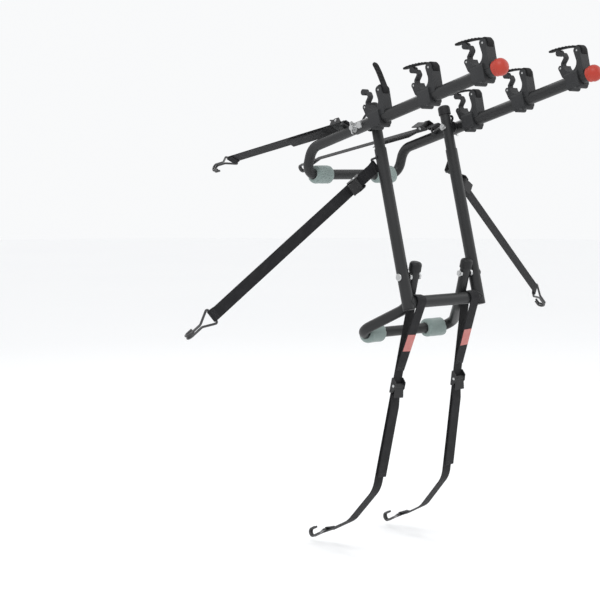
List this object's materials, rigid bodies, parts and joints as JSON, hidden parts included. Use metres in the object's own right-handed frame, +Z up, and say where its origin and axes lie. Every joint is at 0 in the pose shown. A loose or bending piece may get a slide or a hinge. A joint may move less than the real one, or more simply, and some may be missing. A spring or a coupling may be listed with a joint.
{
  "type": "trunk mounted bike rack",
  "caption": "Strap-on rack for a car trunk: folding carry arms with bike cradles, padded rest bars, a folding leg frame and hooked webbing straps with cam buckles.",
  "frame": {"origin": "middle of the upper padded rest bar, where the rack bears on the trunk lid", "axes": "+X across the car to the rack's right as the car drives, +Y toward the front of the car, +Z up, with the rack standing as it does on a level car"},
  "size_m": [1.0732, 0.9189, 1.0699],
  "materials": {
    "black_tube": "satin powder coat, charcoal",
    "black_vinyl": "soft, faint sheen",
    "zinc_steel": "bright zinc plate",
    "foam": "matt closed cell foam, grey green",
    "webbing": "woven black webbing",
    "hook_coating": "dipped vinyl, satin",
    "buckle_steel": "dark plated steel",
    "red_plastic": "moulded red, semi gloss",
    "cradle_plastic": "moulded dark grey, fine texture",
    "ladder_rubber": "matt moulded rubber",
    "red_cloth": "woven washed red tape"
  },
  "bodies": {
    "main_frame": {"crossbar": "black_tube", "hub_posts": "black_tube", "lock_plates": "black_tube", "lower_strap_buckles": "buckle_steel", "lower_strap_hooks": "hook_coating", "lower_strap_left": "webbing", "lower_strap_right": "webbing", "pivot_bolts": "zinc_steel", "pivot_washers": "zinc_steel", "post_caps": "black_vinyl", "side_strap_anchors": "black_tube", "side_strap_buckles": "buckle_steel", "side_strap_hooks": "hook_coating", "side_strap_left": "webbing", "side_strap_right": "webbing", "strap_tags": "red_cloth", "upright_left": "black_tube", "upright_plugs": "black_vinyl", "upright_right": "black_tube"},
    "arms": {"arm_end_caps": "red_plastic", "carry_arm_left": "black_tube", "carry_arm_right": "black_tube", "cradle_base_left_1": "cradle_plastic", "cradle_base_left_2": "cradle_plastic", "cradle_base_left_3": "cradle_plastic", "cradle_base_right_1": "cradle_plastic", "cradle_base_right_2": "cradle_plastic", "cradle_base_right_3": "cradle_plastic", "cradle_pins": "zinc_steel", "lock_bolts": "zinc_steel", "top_strap_anchors": "black_tube", "top_strap_buckles": "buckle_steel", "top_strap_hooks": "hook_coating", "top_strap_left": "webbing", "top_strap_right": "webbing", "upper_frame": "black_tube", "upper_pad_left": "foam", "upper_pad_right": "foam"},
    "leg_frame": {"lower_frame": "black_tube", "lower_frame_caps": "black_vinyl", "lower_pad_left": "foam", "lower_pad_right": "foam"},
    "cradle_buckle_left_1": {"cradle_buckle_left_1": "cradle_plastic"},
    "cradle_buckle_left_2": {"cradle_buckle_left_2": "cradle_plastic"},
    "cradle_buckle_left_3": {"cradle_buckle_left_3": "cradle_plastic"},
    "cradle_buckle_right_1": {"cradle_buckle_right_1": "cradle_plastic"},
    "cradle_buckle_right_2": {"cradle_buckle_right_2": "cradle_plastic"},
    "cradle_buckle_right_3": {"cradle_buckle_right_3": "cradle_plastic"},
    "cradle_strap_left_1": {"cradle_strap_left_1": "ladder_rubber"},
    "cradle_strap_left_2": {"cradle_strap_left_2": "ladder_rubber"},
    "cradle_strap_left_3": {"cradle_strap_left_3": "ladder_rubber"},
    "cradle_strap_right_1": {"cradle_strap_right_1": "ladder_rubber"},
    "cradle_strap_right_2": {"cradle_strap_right_2": "ladder_rubber"},
    "cradle_strap_right_3": {"cradle_strap_right_3": "ladder_rubber"},
    "lower_cam_lever_left": {"lower_cam_lever_left": "buckle_steel"},
    "lower_cam_lever_right": {"lower_cam_lever_right": "buckle_steel"},
    "side_cam_lever_left": {"side_cam_lever_left": "buckle_steel"},
    "side_cam_lever_right": {"side_cam_lever_right": "buckle_steel"},
    "top_cam_lever_left": {"top_cam_lever_left": "buckle_steel"},
    "top_cam_lever_right": {"top_cam_lever_right": "buckle_steel"}
  },
  "joints": [
    {"name": "arms_fold", "type": "hinge", "parent": "main_frame", "child": "arms", "pos_m": [0, -0.187, 0.103], "axis": [1, 0, 0], "range_deg": [0, 90]},
    {"name": "leg_frame_fold", "type": "hinge", "parent": "main_frame", "child": "leg_frame", "pos_m": [0, -0.27073, -0.20948], "axis": [1, 0, 0], "range_deg": [0, 105]},
    {"name": "cradle_strap_left_1_swing", "type": "hinge", "parent": "arms", "child": "cradle_strap_left_1", "pos_m": [-0.138, -0.23967, 0.17302], "axis": [1, 0, 0], "range_deg": [-62, 60]},
    {"name": "cradle_buckle_left_1_swing", "type": "hinge", "parent": "arms", "child": "cradle_buckle_left_1", "pos_m": [-0.138, -0.19908, 0.13906], "axis": [1, 0, 0], "range_deg": [-75, 0]},
    {"name": "cradle_strap_left_2_swing", "type": "hinge", "parent": "arms", "child": "cradle_strap_left_2", "pos_m": [-0.138, -0.38215, 0.21119], "axis": [1, 0, 0], "range_deg": [0, 122]},
    {"name": "cradle_buckle_left_2_swing", "type": "hinge", "parent": "arms", "child": "cradle_buckle_left_2", "pos_m": [-0.138, -0.34155, 0.17723], "axis": [1, 0, 0], "range_deg": [-75, 0]},
    {"name": "cradle_strap_left_3_swing", "type": "hinge", "parent": "arms", "child": "cradle_strap_left_3", "pos_m": [-0.138, -0.52462, 0.24937], "axis": [1, 0, 0], "range_deg": [0, 122]},
    {"name": "cradle_buckle_left_3_swing", "type": "hinge", "parent": "arms", "child": "cradle_buckle_left_3", "pos_m": [-0.138, -0.48403, 0.21541], "axis": [1, 0, 0], "range_deg": [-75, 0]},
    {"name": "top_cam_lever_left_lift", "type": "hinge", "parent": "arms", "child": "top_cam_lever_left", "pos_m": [-0.12464, -0.09628, 0.10846], "axis": [0.8916, -0.081, -0.4455], "range_deg": [0, 70]},
    {"name": "side_cam_lever_left_lift", "type": "hinge", "parent": "main_frame", "child": "side_cam_lever_left", "pos_m": [-0.15847, -0.18805, -0.01884], "axis": [-0.5802, 0.2108, 0.7867], "range_deg": [0, 70]},
    {"name": "lower_cam_lever_left_lift", "type": "hinge", "parent": "main_frame", "child": "lower_cam_lever_left", "pos_m": [-0.09089, -0.2427, -0.44052], "axis": [-0.9982, -0.0111, 0.0582], "range_deg": [0, 70]},
    {"name": "cradle_strap_right_1_swing", "type": "hinge", "parent": "arms", "child": "cradle_strap_right_1", "pos_m": [0.138, -0.23967, 0.17302], "axis": [1, 0, 0], "range_deg": [0, 122]},
    {"name": "cradle_buckle_right_1_swing", "type": "hinge", "parent": "arms", "child": "cradle_buckle_right_1", "pos_m": [0.138, -0.19908, 0.13906], "axis": [1, 0, 0], "range_deg": [-75, 0]},
    {"name": "cradle_strap_right_2_swing", "type": "hinge", "parent": "arms", "child": "cradle_strap_right_2", "pos_m": [0.138, -0.38215, 0.21119], "axis": [1, 0, 0], "range_deg": [0, 122]},
    {"name": "cradle_buckle_right_2_swing", "type": "hinge", "parent": "arms", "child": "cradle_buckle_right_2", "pos_m": [0.138, -0.34155, 0.17723], "axis": [1, 0, 0], "range_deg": [-75, 0]},
    {"name": "cradle_strap_right_3_swing", "type": "hinge", "parent": "arms", "child": "cradle_strap_right_3", "pos_m": [0.138, -0.52462, 0.24937], "axis": [1, 0, 0], "range_deg": [0, 122]},
    {"name": "cradle_buckle_right_3_swing", "type": "hinge", "parent": "arms", "child": "cradle_buckle_right_3", "pos_m": [0.138, -0.48403, 0.21541], "axis": [1, 0, 0], "range_deg": [-75, 0]},
    {"name": "top_cam_lever_right_lift", "type": "hinge", "parent": "arms", "child": "top_cam_lever_right", "pos_m": [0.12464, -0.09628, 0.10846], "axis": [0.8916, 0.081, 0.4455], "range_deg": [0, 70]},
    {"name": "side_cam_lever_right_lift", "type": "hinge", "parent": "main_frame", "child": "side_cam_lever_right", "pos_m": [0.15847, -0.18805, -0.01884], "axis": [-0.5802, -0.2108, -0.7867], "range_deg": [0, 70]},
    {"name": "lower_cam_lever_right_lift", "type": "hinge", "parent": "main_frame", "child": "lower_cam_lever_right", "pos_m": [0.09089, -0.2427, -0.44052], "axis": [-0.9982, 0.0111, -0.0582], "range_deg": [0, 70]}
  ]
}
